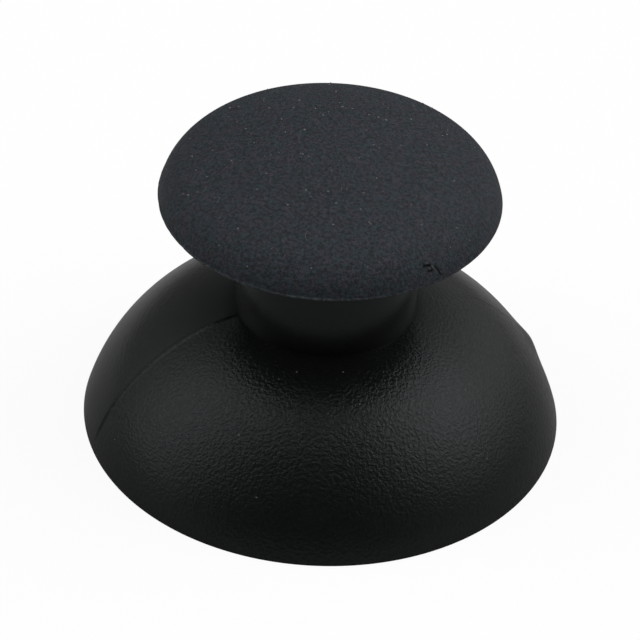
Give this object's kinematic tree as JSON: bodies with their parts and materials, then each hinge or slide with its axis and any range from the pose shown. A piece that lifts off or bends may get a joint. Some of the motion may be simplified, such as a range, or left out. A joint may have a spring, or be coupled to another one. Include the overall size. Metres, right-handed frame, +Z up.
{
  "type": "controller analog stick",
  "caption": "Thumb stick cap: hollow domed skirt, round neck and a crowned soft round top, pushed onto a flatted joystick shaft.",
  "frame": {"origin": "centre of the skirt's seat, where the stick stands on its rim", "axes": "+Z up along the neck through the middle of the rubber top, +X across the socket along its two flats"},
  "size_m": [0.025, 0.025, 0.0173],
  "materials": {
    "hard_black": "black moulded plastic with a fine leather-like grain, semi-matte",
    "soft_top": "matte blue-grey black rubber with a fine granular texture"
  },
  "bodies": {
    "root": {"stick_body": "hard_black", "rubber_top": "soft_top"}
  },
  "joints": []
}
